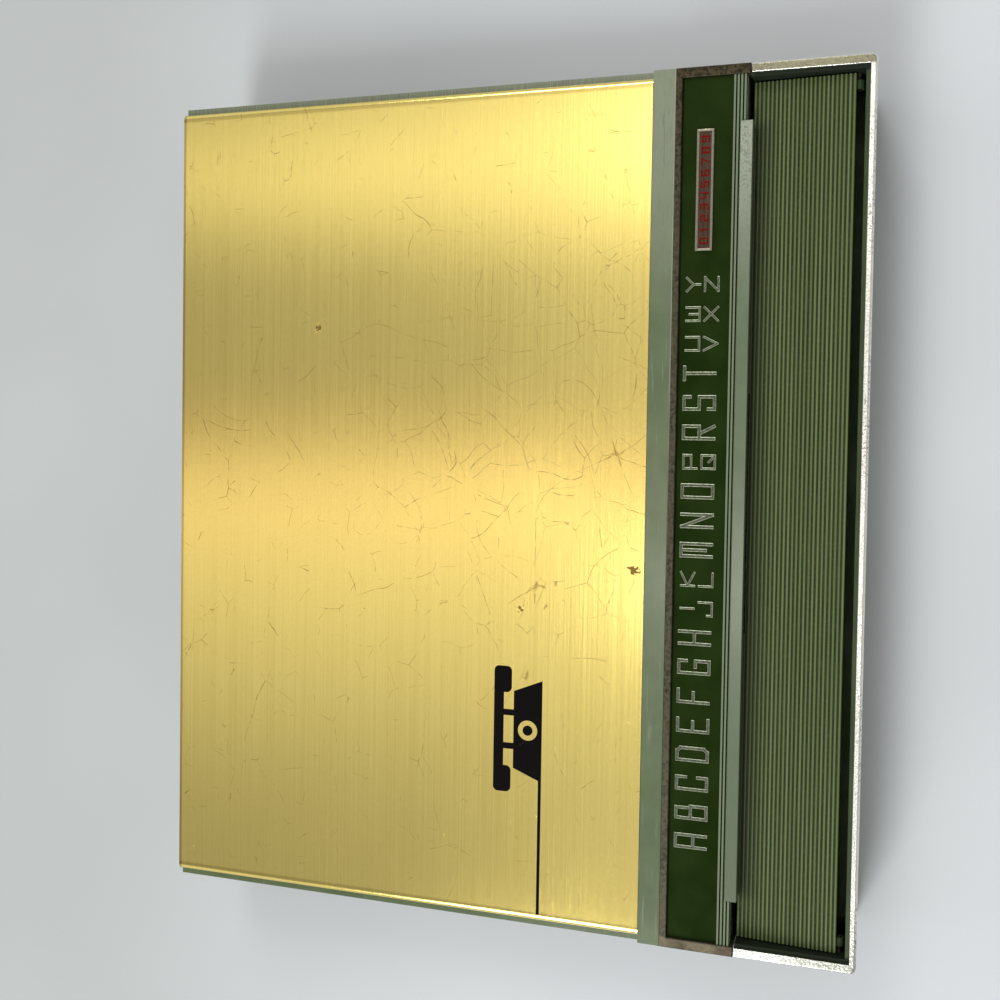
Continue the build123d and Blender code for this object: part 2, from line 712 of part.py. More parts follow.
with BuildPart() as finger_lip:
    with BuildSketch(Plane.YZ.offset(-lip_half)):
        with BuildLine():
            Polyline(
                (lip_back_y, height),
                (lip_back_y, lip_under_z),
                (lid_front_y - fit_gap, lip_under_z),
                (lid_front_y - fit_gap, lip_leg_z),
                (lip_front_y, lip_leg_z),
                (lip_front_y, height),
                close=True,
            )
        make_face()
    extrude(amount=2 * lip_half)
    chamfer(finger_lip.faces().sort_by(Axis.Z)[-1].edges(), lip_edge)
finger_lip.part.label = "finger_lip"
export_step(finger_lip.part, "parts/finger_lip.step")

with BuildPart() as index_letters:
    with BuildSketch(Plane.XY.offset(strip_z)):
        for index, group in enumerate(letter_groups):
            letter_x = letter_first_x + index * letter_pitch
            if len(group) == 1:
                draw_glyph(group, letter_x, letter_centre_y, letter_width, letter_height, stroke)
            else:
                draw_glyph(group[0], letter_x, pair_back_y, letter_width, pair_height, pair_stroke)
                draw_glyph(group[1], letter_x, pair_front_y, letter_width, pair_height, pair_stroke)
    extrude(amount=foil)
index_letters.part.label = "index_letters"
export_step(index_letters.part, "parts/index_letters.step")

with BuildPart() as number_plate:
    with Locations((number_x, number_y, strip_z)):
        Box(number_length, number_height, number_thickness, align=(Align.CENTER, Align.CENTER, Align.MIN))
    with Locations((number_x, number_y, strip_z + number_floor)):
        Box(
            number_length - 2 * number_rim,
            number_height - 2 * number_rim,
            number_thickness,
            align=(Align.CENTER, Align.CENTER, Align.MIN),
            mode=Mode.SUBTRACT,
        )
number_plate.part.label = "number_plate"
export_step(number_plate.part, "parts/number_plate.step")

with BuildPart() as number_digits:
    with BuildSketch(Plane.XY.offset(strip_z + number_floor)):
        for index in range(10):
            digit_x = number_x + (index - 4.5) * digit_pitch
            draw_glyph(str(index), digit_x, number_y, digit_width, digit_height, digit_stroke)
    extrude(amount=digit_raise)
number_digits.part.label = "number_digits"
export_step(number_digits.part, "parts/number_digits.step")

with BuildPart() as lid_liner:
    slab(
        (-liner_half, liner_half),
        (liner_front_y, liner_rear_y),
        (lid_roof_z - liner_sheet, lid_roof_z),
    )
lid_liner.part.label = "lid_liner"
export_step(lid_liner.part, "parts/lid_liner.step")

# ---------------------------------------------------------------- torsion springs of the lid

base_angle = radians(lid_spring_base_angle)
roof_angle = radians(lid_spring_roof_angle)
turning = roof_angle - base_angle + 2 * pi * lid_spring_turns
coil_rise = lid_spring_pitch * turning / (2 * pi)


def coil_point(angle, side):
    """A point of the wire's centre line, at an angle from +Y towards +Z round the hinge."""
    return (
        side * (lid_spring_x + lid_spring_pitch * (angle - base_angle) / (2 * pi)),
        hinge_y + lid_spring_radius * cos(angle),
        hinge_z + lid_spring_radius * sin(angle),
    )


for name, side in (("lid_spring_left", -1), ("lid_spring_right", 1)):
    steps = lid_spring_turns * 12
    run = [coil_point(base_angle + turning * index / steps, side) for index in range(steps + 1)]
    x0, y0, z0 = run[0]
    x1, y1, z1 = run[-1]
    base_leg = (z0 - floor_z - lid_spring_wire - fit_gap) / cos(base_angle)
    roof_leg = (lid_roof_z - lid_spring_wire - 2 * fit_gap - z1) / cos(roof_angle)
    with BuildPart() as lid_spring:
        with BuildLine() as wire:
            Line((x0, y0 + base_leg * sin(base_angle), z0 - base_leg * cos(base_angle)), run[0])
            Spline(
                run,
                tangents=[
                    (0, -sin(base_angle), cos(base_angle)),
                    (0, -sin(roof_angle), cos(roof_angle)),
                ],
            )
            Line(run[-1], (x1, y1 - roof_leg * sin(roof_angle), z1 + roof_leg * cos(roof_angle)))
        with BuildSketch(Plane(wire.wires()[0] @ 0, z_dir=wire.wires()[0] % 0)):
            Circle(lid_spring_wire)
        sweep(path=wire.wires()[0])
    lid_spring.part.label = name
    export_step(lid_spring.part, f"parts/{name}.step")
print("lid spring: gap between turns", round(lid_spring_pitch - 2 * lid_spring_wire, 2))

# ---------------------------------------------------------------- leaves on the rod

slot_count = 2 * leaf_count
for index in range(leaf_count):
    last = index == leaf_count - 1
    name = "leaf_numbers" if last else f"leaf_{letter_groups[index].lower()}"
    leaf_z = leaf_low_z + (leaf_count - 1 - index) * leaf_pitch
    with BuildPart() as leaf:
        slab((-leaf_half, leaf_half), (leaf_front_y, leaf_rear_y), (leaf_z, leaf_z + leaf_thickness))
        tab_x = letter_first_x + index * letter_pitch
        tab = (tab_x - tab_width / 2, tab_x + tab_width / 2)
        if last:
            tab = (number_x - number_length / 2, leaf_half)
        slab(tab, (tab_front_y, leaf_front_y), (leaf_z, leaf_z + leaf_thickness))
        # Two arms to the rod, each in a slot of its own so that all the leaves can turn.
        for slot in (index, index + leaf_count):
            arm_x = (slot - (slot_count - 1) / 2) * arm_slot
            arm = (arm_x - arm_width / 2, arm_x + arm_width / 2)
            low_z = min(leaf_z, rod_z - arm_sheet / 2)
            high_z = max(leaf_z + leaf_thickness, rod_z + arm_sheet / 2)
            slab(arm, (leaf_rear_y, arm_drop_y), (leaf_z, leaf_z + leaf_thickness))
            slab(arm, (arm_drop_y - arm_drop / 2, arm_drop_y + arm_drop / 2), (low_z, high_z))
            slab(arm, (arm_drop_y, rod_y), (rod_z - arm_sheet / 2, rod_z + arm_sheet / 2))
            rod_along_x(arm, rod_y, rod_z, knuckle_radius)
            rod_along_x(arm, rod_y, rod_z, rod_radius + knuckle_clearance, Mode.SUBTRACT)
    leaf.part.label = name
    export_step(leaf.part, f"parts/{name}.step")
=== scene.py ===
import math

import bmesh
import bpy
from mathutils import Euler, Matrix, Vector


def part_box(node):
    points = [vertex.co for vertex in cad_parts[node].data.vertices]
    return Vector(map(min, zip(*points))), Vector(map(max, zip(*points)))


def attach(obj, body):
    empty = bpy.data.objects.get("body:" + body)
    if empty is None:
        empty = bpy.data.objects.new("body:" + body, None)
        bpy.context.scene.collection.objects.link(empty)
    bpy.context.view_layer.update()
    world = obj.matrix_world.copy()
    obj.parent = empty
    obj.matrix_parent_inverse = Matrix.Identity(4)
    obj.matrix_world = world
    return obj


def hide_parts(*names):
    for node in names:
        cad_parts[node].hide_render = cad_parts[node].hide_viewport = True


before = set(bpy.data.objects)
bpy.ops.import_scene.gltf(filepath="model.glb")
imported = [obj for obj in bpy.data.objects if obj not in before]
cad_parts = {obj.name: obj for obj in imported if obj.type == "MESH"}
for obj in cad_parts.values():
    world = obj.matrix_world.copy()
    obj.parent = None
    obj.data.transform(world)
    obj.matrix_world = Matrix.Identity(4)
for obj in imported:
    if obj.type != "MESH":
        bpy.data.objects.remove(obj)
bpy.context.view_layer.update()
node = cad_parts

# ------------------------------------------------------------------ camera
# The camera looks down from over the front of the index and is a quarter turned, so that the
# letters run up the picture. Its lens is about 43 mm on a sensor 36 mm wide.
camera = bpy.data.objects.new("camera", bpy.data.cameras.new("camera"))
camera.data.sensor_width = 36.0
camera.data.lens = 43.2
camera.data.shift_y = -0.028
camera.data.clip_start = 0.01
camera.location = (0.0142, -0.07588, 0.24864)
camera.rotation_euler = Euler(map(math.radians, (-1.496, 18.3215, -89.0765)), "XYZ")
bpy.context.collection.objects.link(camera)
bpy.context.scene.camera = camera
bpy.context.scene.view_settings.view_transform = "Standard"

# ------------------------------------------------------------------ lamps
# Two soft windows stand to the left and right behind the index, higher than the table. The
# left one is the brighter. Both are sized in metres and aimed at the index.
def soft_window(name, place, width, height, radiance, colour):
    lamp = bpy.data.lights.new(name, "AREA")
    lamp.shape = "RECTANGLE"
    lamp.size = width
    lamp.size_y = height
    lamp.energy = radiance * math.pi * width * height
    lamp.color = colour
    thing = bpy.data.objects.new(name, lamp)
    thing.location = place
    thing.rotation_euler = (-Vector(place)).to_track_quat("-Z", "Y").to_euler()
    bpy.context.collection.objects.link(thing)


window_y = 0.3
window_z = 1.2
window_width = 0.5
left_place = (-1.25, window_y, window_z)
right_place = (1.2, window_y, window_z)
soft_window("left_window", left_place, window_width, 1.0, 12.0, (0.97, 0.99, 1.0))
soft_window("right_window", right_place, window_width, 0.6, 6.0, (1.0, 0.99, 0.97))

# ------------------------------------------------------------------ room and table
# The pale ceiling has rows of lamps, which the gold plate mirrors as bright bands. The table
# is a matte light grey board that shows only soft shadows. Its colour is painted darker
# towards the rear, as painted shade.
class Wire:
    """A number that varies over a surface: sums on wires add the Math nodes for them."""

    def __init__(self, shading, socket):
        self.shading = shading
        self.socket = socket

    def math(self, operation, *others):
        values = dict(enumerate((self, *others)))
        return self.shading.add("ShaderNodeMath", {"operation": operation}, values)

    def __add__(self, other):
        return self.math("ADD", other)

    def __sub__(self, other):
        return self.math("SUBTRACT", other)

    def __rsub__(self, other):
        return (self * -1.0).math("ADD", other)

    def __mul__(self, other):
        return self.math("MULTIPLY", other)

    __radd__ = __add__
    __rmul__ = __mul__

    def ramp(self, low, high, to_low=0.0, to_high=1.0):
        """Smoothly from to_low, where the wire is low or less, to to_high at high or more."""
        values = {"Value": self, "From Min": low, "From Max": high}
        values |= {"To Min": to_low, "To Max": to_high}
        settings = {"interpolation_type": "SMOOTHSTEP"}
        return self.shading.add("ShaderNodeMapRange", settings, values)


class Shading:
    """A tree of shader nodes. Its add method puts in any node and returns an output as a wire."""

    def __init__(self, tree):
        self.tree = tree

    def add(self, kind, settings, values, output=0):
        made = self.tree.nodes.new(kind)
        for key, value in settings.items():
            setattr(made, key, value)
        for key, value in values.items():
            if isinstance(value, Wire):
                self.tree.links.new(value.socket, made.inputs[key])
            else:
                made.inputs[key].default_value = value
        return Wire(self, made.outputs[output])

    def axis(self, name, vector):
        return self.add("ShaderNodeSeparateXYZ", {}, {0: vector}, name)

    def mix(self, share, low, high):
        values = {0: share}
        for key, colour in ((6, low), (7, high)):
            values[key] = colour if isinstance(colour, Wire) else (*colour, 1.0)
        return self.add("ShaderNodeMix", {"data_type": "RGBA"}, values, 2)


class Finish(Shading):
    """One material. Patterns on it are sized in millimetres of the object."""

    def __init__(self, name, **sockets):
        self.material = bpy.data.materials.new(name)
        self.material.use_nodes = True
        super().__init__(self.material.node_tree)
        self.skin = self.tree.nodes["Principled BSDF"]
        for key, value in sockets.items():
            self.skin.inputs[key.replace("_", " ")].default_value = value
        values = {0: self.add("ShaderNodeTexCoord", {}, {}, "Object"), "Scale": 1000.0}
        self.mm = self.add("ShaderNodeVectorMath", {"operation": "SCALE"}, values)
        self.x, self.y, self.z = (self.axis(name, self.mm) for name in "XYZ")

    def grain(self, x, y, z, turn=0.0):
        """The place in mm, shrunk by a grain's length along X, Y and Z."""
        values = {0: self.mm, "Rotation": (0.0, 0.0, turn), "Scale": (1 / x, 1 / y, 1 / z)}
        return self.add("ShaderNodeMapping", {}, values)

    def noise(self, size, detail=2.0, vector=None):
        values = {"Vector": vector or self.mm, "Scale": 1 / size, "Detail": detail}
        return self.add("ShaderNodeTexNoise", {}, values)

    def paint(self, socket, wire):
        self.tree.links.new(wire.socket, self.skin.inputs[socket])

    def relief(self, height, depth):
        """The surface raised by height times depth, in metres."""
        values = {"Height": height, "Strength": 1.0, "Distance": depth}
        return self.add("ShaderNodeBump", {}, values)

    def give(self, *things):
        for thing in things:
            if not thing.material_slots:
                thing.data.materials.append(self.material)
            for slot in thing.material_slots:
                slot.material = self.material


def srgb(red, green, blue):
    """A colour as it shows on a screen, from 0 to 255, as the shaders want it."""
    values = (value / 255 for value in (red, green, blue))
    return tuple(v / 12.92 if v <= 0.04045 else ((v + 0.055) / 1.055) ** 2.4 for v in values)


world = bpy.data.worlds.new("room")
bpy.context.scene.world = world
world.use_nodes = True
sky = Shading(world.node_tree)
ceiling = sky.add("ShaderNodeTexCoord", {}, {}, "Generated")
across = sky.axis("X", ceiling)
away = sky.axis("Y", ceiling)
# Two rows of ceiling lamps, one wide and one narrow, run away from the table. The wide row is
# brightest along its inner edge.
near = away.ramp(0.2, 0.36, 1.0, 0.0)
wide_row = across.ramp(-0.34, -0.06) * across.ramp(-0.033, -0.003, 1.0, 0.0)
inner_edge = across.ramp(-0.11, -0.075) * across.ramp(-0.033, -0.008, 1.0, 0.0)
wide_row = wide_row * (0.5 - near * 0.15) + inner_edge * (1 - near) * 0.2
narrow_row = across.ramp(0.145, 0.185) * (across + away * 0.2).ramp(0.318, 0.35, 1.0, 0.0)
narrow_row = narrow_row * (across.ramp(0.19, 0.22) * 0.14 + 0.55)
rows = wide_row + narrow_row + (across * 0.15 + 0.45) * (near * 0.2 + 1)
overhead = rows * away.ramp(0.12, 0.4, 1.22, 1.0) * away.ramp(0.4, 0.56, 1.0, 0.85)
overhead = overhead * away.ramp(-0.3, 0.06, 0.5, 1.1)
# Three small round lamps hang beside the wide row.
for place in ((-0.06, 0.275, 0.96), (-0.068, 0.252, 0.965), (-0.034, 0.288, 0.957)):
    values = {0: ceiling, 1: place}
    distance = sky.add("ShaderNodeVectorMath", {"operation": "DISTANCE"}, values, "Value")
    overhead = overhead + distance.ramp(0.008, 0.02, 1.2, 0.0)
# The near end of each row has a bare tube.
tubes = across.ramp(-0.17, -0.13) * across.ramp(-0.12, -0.07, 1.0, 0.0) * 3.4
tubes = tubes + across.ramp(0.19, 0.23) * across.ramp(0.25, 0.29, 1.0, 0.0) * 1.6
overhead = overhead + tubes * away.ramp(0.17, 0.2, 1.0, 0.0) * away.ramp(-0.06, 0.0)
horizon = away * 0.3 + 0.65
high = sky.axis("Z", ceiling).ramp(0.55, 0.75)
background = sky.tree.nodes["Background"]
strength = horizon * (1 - high) + overhead * high
sky.tree.links.new(strength.socket, background.inputs["Strength"])
lamp_colour = sky.mix(rows.ramp(0.5, 1.0), srgb(250, 252, 255), srgb(255, 252, 246))
warm = across.ramp(-0.12, -0.07) * across.ramp(0.0, 0.03, 1.0, 0.0) * high
lamp_colour = sky.mix(warm, lamp_colour, srgb(255, 243, 238))
sky.tree.links.new(lamp_colour.socket, background.inputs["Color"])

table_size = 6.0
half = table_size / 2
corners = [(-half, -half, 0), (half, -half, 0), (half, half, 0), (-half, half, 0)]
mesh = bpy.data.meshes.new("table_top")
mesh.from_pydata(corners, [], [(0, 1, 2, 3)])
table = bpy.data.objects.new("table_top", mesh)
bpy.context.collection.objects.link(table)
board = Finish("pale_board", Roughness=0.75)
board.skin.inputs["Specular IOR Level"].default_value = 0.2
cloud = board.noise(90.0, 2.0).ramp(0.3, 0.7)
front = board.mix(cloud, srgb(206, 209, 211), srgb(212, 215, 217))
# Painted shade: the board's colour darkens towards the rear.
rear_painted_shade = board.mix(cloud, srgb(180, 183, 182), srgb(186, 189, 188))
board.paint("Base Color", board.mix(board.y.ramp(-40.0, 120.0), front, rear_painted_shade))
board.give(table)

# ------------------------------------------------------------------ painted tray
# A shallow pressed steel tray in dark olive enamel, with lugs, posts and a cross wall welded
# in. The front bay is painted black-green as painted shade and has pale dust on its floor, and
# the outside is rubbed pale in specks.
enamel = Finish("olive_enamel")
enamel.skin.inputs["Specular IOR Level"].default_value = 0.3
blotch = enamel.noise(9.0, 4.0).ramp(0.35, 0.7)
fleck = enamel.noise(0.35, 2.0).ramp(0.66, 0.74)
off_middle = enamel.x.math("ABSOLUTE")
# The painted shade ends softly between each pair of places: at the cross wall, at the front
# wall's outside and in the side walls, whose tops it reaches. The front wall's top edge has
# none of it.
cross_wall = (-49.4, -48.8)
front_wall = (-70.2, -69.9)
side_wall = (81.0, 81.6)
side_top = (80.0, 80.3)
front_top = (23.1, 23.4)
bay = enamel.y.ramp(*cross_wall, 1.0, 0.0) * enamel.y.ramp(*front_wall)
bay = bay * off_middle.ramp(*side_wall, 1.0, 0.0)
upright = enamel.z.ramp(*front_top, 1.0, 0.0) + off_middle.ramp(*side_top)
bay = bay * upright.math("MINIMUM", 1.0)
settled = bay * enamel.z.ramp(3.2, 9.0, 1.0, 0.0)
colour = enamel.mix(blotch, srgb(46, 58, 30), srgb(58, 70, 40))
colour = enamel.mix(fleck * 0.35, colour, srgb(120, 126, 98))
# Painted shade: the bay's walls and floor are coloured near black-green.
bay_painted_shade = enamel.mix(blotch, srgb(16, 24, 10), srgb(26, 37, 18))
dust = enamel.mix(blotch, srgb(112, 134, 92), srgb(136, 154, 116))
colour = enamel.mix(settled, enamel.mix(bay, colour, bay_painted_shade), dust)
enamel.paint("Base Color", colour)
enamel.paint("Roughness", blotch * 0.14 + bay * 0.4 + 0.36)
enamel.paint("Normal", enamel.relief(enamel.noise(0.5, 3.0), 0.00001))
enamel.give(node["base_tray"])

# ------------------------------------------------------------------ feet
# Four round rubber feet, glued under the tray near its corners. Table dust has made them
# grey.
rubber = Finish("foot_rubber", Roughness=0.85)
dust = rubber.noise(1.2, 4.0).ramp(0.45, 0.75)
rubber.paint("Base Color", rubber.mix(dust, srgb(32, 32, 31), srgb(64, 63, 60)))
rubber.paint("Normal", rubber.relief(rubber.noise(0.25), 0.00002))
rubber.give(node["rubber_feet"])

# ------------------------------------------------------------------ front frame
# A drawn strip of bright plated metal, bent round the front bay. The plating is dull and
# full of grey specks in patches, and clean between them. The flat tops of the side arms are
# painted darker as painted shade, the right one most.
plating = Finish("worn_plating", Metallic=1.0)
patch = plating.noise(13.0, 3.0).ramp(0.42, 0.6)
grit = plating.noise(0.5, 3.0)
left_corner = plating.x.ramp(-83.0, -70.0, 1.0, 0.0) * plating.y.ramp(-64.0, -54.0, 1.0, 0.0)
speck = grit.ramp(0.5, 0.64) * (patch * 0.6 + left_corner * 0.5 + 0.2).math("MINIMUM", 1.0)
facing = plating.add("ShaderNodeTexCoord", {}, {}, "Normal")
outward = plating.axis("Y", facing).ramp(-0.7, -0.1, 1.0, 0.0)
flat_top = plating.axis("Z", facing).ramp(0.8, 0.98)
dull = plating.noise(4.0, 3.0).ramp(0.35, 0.7)
# Painted shade: the flat tops of the side arms are coloured darker, the right one most.
right_arm_painted_shade = flat_top * plating.x.ramp(81.0, 81.5)
left_arm = flat_top * plating.x.ramp(-81.5, -81.0, 1.0, 0.0)
colour = plating.mix(dull, srgb(252, 250, 240), srgb(234, 235, 222))
colour = plating.mix(right_arm_painted_shade, colour, srgb(136, 133, 110))
colour = plating.mix(left_arm, colour, srgb(208, 209, 196))
colour = plating.mix(outward * (1 - speck), colour, srgb(246, 245, 234))
colour = plating.mix(speck * 0.75, colour, srgb(112, 112, 98))
colour = plating.mix(left_corner * 0.4, colour, srgb(140, 140, 126))
plating.paint("Base Color", colour)
plating.paint("Roughness", speck * 0.2 + dull * 0.06 + outward * 0.4 + 0.2)
plating.paint("Normal", plating.relief(grit * 0.7 + dull * 0.3, 0.00006))
plating.give(node["front_frame"])

# ------------------------------------------------------------------ ribbed push plate
# Moulded olive plastic. Fingers have polished the tops of the ribs; the grooves are painted
# dark as painted shade and hold some grey dust, the ribs near the lip carry its painted
# shadow, and the rings at the front edge are darker.
moulded = Finish("ribbed_olive")
moulded.skin.inputs["Specular IOR Level"].default_value = 0.25
# The face between the ribs slopes down from its front edge to its rear edge. The ribs' tips
# are told by their height above it.
face_front_y = -67.4
face_front_z = 22.0
face_length = 18.25
face_fall = 1.4
above = moulded.z - face_front_z + (moulded.y - face_front_y) * (face_fall / face_length)
tip = above.ramp(0.04, 0.27)
worn = moulded.noise(6.0, 4.0).ramp(0.3, 0.75)
dusty = moulded.noise(0.5, 3.0).ramp(0.5, 0.75)
# The rings in front of the face are coloured darker.
front_rings = moulded.y.ramp(face_front_y - 0.1, face_front_y + 0.1, 1.0, 0.0)
polished = moulded.noise(1.0, 3.0, moulded.grain(60.0, 0.5, 1.0)).ramp(0.3, 0.7)
colour = moulded.mix(polished, srgb(84, 99, 54), srgb(104, 118, 74))
# Painted shade: the grooves between the ribs are coloured near black.
colour = moulded.mix(tip, srgb(34, 42, 16), colour)
colour = moulded.mix(worn * 0.2, colour, srgb(80, 90, 52))
# Painted shadow: the ribs near the lip are coloured darker, less towards the lip's ends.
lip_end = moulded.x.math("ABSOLUTE").ramp(71.0, 74.0, 1.0, 0.25)
lip_painted_shadow = moulded.y.ramp(-54.5, -49.8) * lip_end
colour = moulded.mix(dusty * 0.14, colour, srgb(132, 134, 112))
colour = moulded.mix(lip_painted_shadow * 0.6, colour, srgb(24, 30, 14))
colour = moulded.mix(front_rings, colour, srgb(52, 66, 36))
moulded.paint("Base Color", colour)
moulded.paint("Roughness", tip.ramp(0.0, 1.0, 0.65, 0.42))
moulded.paint("Normal", moulded.relief(moulded.noise(0.3, 3.0), 0.00001))
moulded.give(node["push_plate"])

# ------------------------------------------------------------------ rods, pins and rivets
# Drawn steel wire with turning marks, cut to length and pressed into the tray. The pins of
# the ribbed plate sit in the bay, whose dark colour is painted shade, and have gone brown.
drawn = Finish("drawn_steel", Metallic=1.0)
line = drawn.noise(1.0, 3.0, drawn.grain(6.0, 0.15, 0.15))
drawn.paint("Base Color", drawn.mix(line, srgb(150, 149, 145), srgb(196, 195, 190)))
drawn.paint("Roughness", line.ramp(0.2, 0.8, 0.28, 0.45))
drawn.paint("Normal", drawn.relief(line, 0.00001))
drawn.give(node["lid_pins"], node["leaf_rod"], node["catch_rivets"])
browned = Finish("browned_steel", Metallic=0.9)
rust = browned.noise(0.7, 4.0)
browned.paint("Base Color", browned.mix(rust.ramp(0.4, 0.6), srgb(46, 42, 34), srgb(86, 80, 66)))
browned.paint("Roughness", rust.ramp(0.3, 0.7, 0.45, 0.7))
browned.give(node["push_pins"])

# ------------------------------------------------------------------ springs and catch
# Blued spring steel with an oily brown bloom: coils wound from wire, and a wide catch bent
# from thin sheet and held by two rivets.
sprung = Finish("blued_spring_steel", Metallic=1.0)
bloom = sprung.noise(1.5, 4.0).ramp(0.4, 0.7)
sprung.paint("Base Color", sprung.mix(bloom, srgb(112, 116, 124), srgb(140, 126, 108)))
sprung.paint("Roughness", bloom.ramp(0.0, 1.0, 0.25, 0.5))
sprung.paint("Normal", sprung.relief(sprung.noise(0.3, 2.0), 0.000005))
sprung.give(node["push_spring_left"], node["push_spring_right"])
sprung.give(node["lid_spring_left"], node["lid_spring_right"], node["catch_spring"])

# ------------------------------------------------------------------ lid
# Pressed steel in glossy sage enamel. The band that a hand slides over is rubbed and finely
# scratched, mostly at its right end, which is also painted paler as a painted sheen. Its side
# walls are painted darker as painted shade.
sage = Finish("sage_enamel")
sage.skin.inputs["Specular IOR Level"].default_value = 1.0
cloud = sage.noise(7.0, 4.0).ramp(0.3, 0.75)
rub = sage.noise(1.0, 3.0, sage.grain(9.0, 0.35, 1.0, 0.12)).ramp(0.55, 0.8)
right_end = sage.x.ramp(30.0, 75.0)
nick = sage.noise(1.0, 2.0, sage.grain(5.0, 0.3, 1.0, -0.2)).ramp(0.6, 0.68)
nick = nick * (right_end * 0.8 + 0.2)
facing = sage.add("ShaderNodeTexCoord", {}, {}, "Normal")
# Painted shade: walls that face sideways are coloured dark olive.
side_wall_painted_shade = sage.axis("X", facing).math("ABSOLUTE").ramp(0.6, 0.9)
colour = sage.mix(cloud, srgb(74, 90, 50), srgb(86, 102, 62))
colour = sage.mix(rub * 0.3, colour, srgb(118, 127, 102))
# Painted sheen: the band's right end is coloured paler, besides its real rubbing.
colour = sage.mix(right_end * 0.4, colour, srgb(136, 140, 118))
colour = sage.mix(nick * 0.6, colour, srgb(74, 78, 58))
colour = sage.mix(side_wall_painted_shade, colour, srgb(62, 67, 40))
sage.paint("Base Color", colour)
sage.paint("Roughness", rub * 0.16 + right_end * 0.1 + 0.16)
sage.paint("Normal", sage.relief(sage.noise(0.6, 3.0), 0.000006))
sage.give(node["lid_shell"])

# ------------------------------------------------------------------ finger lip
# The lip has the lid's enamel over a coarser casting, so it is speckled, more so at its
# right end, where nails have chipped it.
chipped = Finish("speckled_sage")
chipped.skin.inputs["Specular IOR Level"].default_value = 1.0
cloud = chipped.noise(6.0, 3.0).ramp(0.3, 0.7)
speckle = chipped.noise(0.45, 3.0).ramp(0.5, 0.66)
right_end = chipped.x.ramp(35.0, 72.0)
colour = chipped.mix(cloud, srgb(80, 95, 64), srgb(88, 103, 72))
colour = chipped.mix(right_end * 0.6, colour, srgb(140, 147, 126))
colour = chipped.mix(chipped.x.ramp(-70.0, 0.0, 0.6, 0.0), colour, srgb(86, 98, 70))
colour = chipped.mix(speckle * (right_end * 0.4 + 0.08), colour, srgb(84, 90, 70))
chipped.paint("Base Color", colour)
chipped.paint("Roughness", speckle * right_end * 0.12 + 0.17)
chipped.paint("Normal", chipped.relief(speckle * (right_end * 0.7 + 0.3), 0.000005))
chipped.give(node["finger_lip"])

# ------------------------------------------------------------------ gold cover plate
# Brushed, gold-coloured metal sheet, folded down at both ends. The brushing runs along X.
# Years of hands have left fine scratches and three brown pits. The rear edge and the creases
# of the folded ends are painted dark as painted shade.
gold = Finish("brushed_gold", Metallic=1.0)
brush = gold.noise(1.0, 3.0, gold.grain(40.0, 0.12, 1.0))
streak = gold.noise(1.0, 4.0, gold.grain(70.0, 0.35, 1.0)).ramp(0.3, 0.7)
sparkle = gold.noise(0.22, 2.0)
patch = gold.noise(22.0, 3.0)


def distance_to(x, y):
    """How far a place is from a point on the plate's top, in mm."""
    plate_top = 24.0
    values = {0: gold.mm, 1: (x, y, plate_top)}
    return gold.add("ShaderNodeVectorMath", {"operation": "DISTANCE"}, values, "Value")


def hairlines(size, width, shift, amount):
    """Thin kinked scratches about as long as size in mm, and more of them for a high amount."""
    moved = gold.add("ShaderNodeVectorMath", {"operation": "ADD"}, {0: gold.mm, 1: shift})
    values = {"Vector": moved, "Scale": 1.6 / size, "Detail": 1.0}
    wander = gold.add("ShaderNodeTexNoise", {}, values, "Color")
    values = {0: wander, 1: (size * 0.3, size * 0.3, 0.0), 2: moved}
    bent = gold.add("ShaderNodeVectorMath", {"operation": "MULTIPLY_ADD"}, values)
    values = {"Vector": bent, "Scale": 1 / size}
    edge = gold.add("ShaderNodeTexVoronoi", {"feature": "DISTANCE_TO_EDGE"}, values)
    bend = gold.noise(size * 3.0, 0.0, moved) - 0.5
    kept = gold.noise(size * 0.5, 2.0, moved) + amount * 0.15
    straight = edge.ramp(0.0, width / size, 1.0, 0.0) * kept.ramp(0.55, 0.6)
    curve = bend.math("ABSOLUTE").ramp(0.0, 0.25 * width / size, 1.0, 0.0)
    return straight + curve * kept.ramp(0.58, 0.64)


busy = distance_to(16.0, -14.0).ramp(12.0, 60.0, 1.0, 0.0)
scratch = hairlines(8.0, 0.06, (3.0, 9.0, 0.0), busy)
scratch = scratch + hairlines(17.0, 0.085, (47.0, 21.0, 0.0), busy * 0.7)
scratch = (scratch * gold.noise(1.4, 2.0).ramp(0.3, 0.6)).math("MINIMUM", 1.0)
colour = gold.mix(streak, srgb(242, 217, 124), srgb(248, 225, 132))
colour = gold.mix(sparkle.ramp(0.35, 0.65, 0.1, 0.0), colour, srgb(196, 160, 84))
colour = gold.mix(scratch * 0.72, colour, srgb(142, 108, 40))
ragged = gold.noise(0.7, 4.0) * 4.6
pits = gold.noise(0.9, 2.0).ramp(0.77, 0.8) * patch.ramp(0.5, 0.62)
for x, y, reach in ((-19.7, -6.0, 2.5), (-11.2, -28.8, 2.8), (35.7, 38.6, 2.5)):
    pits = pits + (distance_to(x, y) + ragged).ramp(reach, reach + 0.4, 1.0, 0.0)
pits = pits.math("MINIMUM", 1.0)
colour = gold.mix(pits * 0.85, colour, srgb(96, 68, 26))
off_middle = gold.x.math("ABSOLUTE")
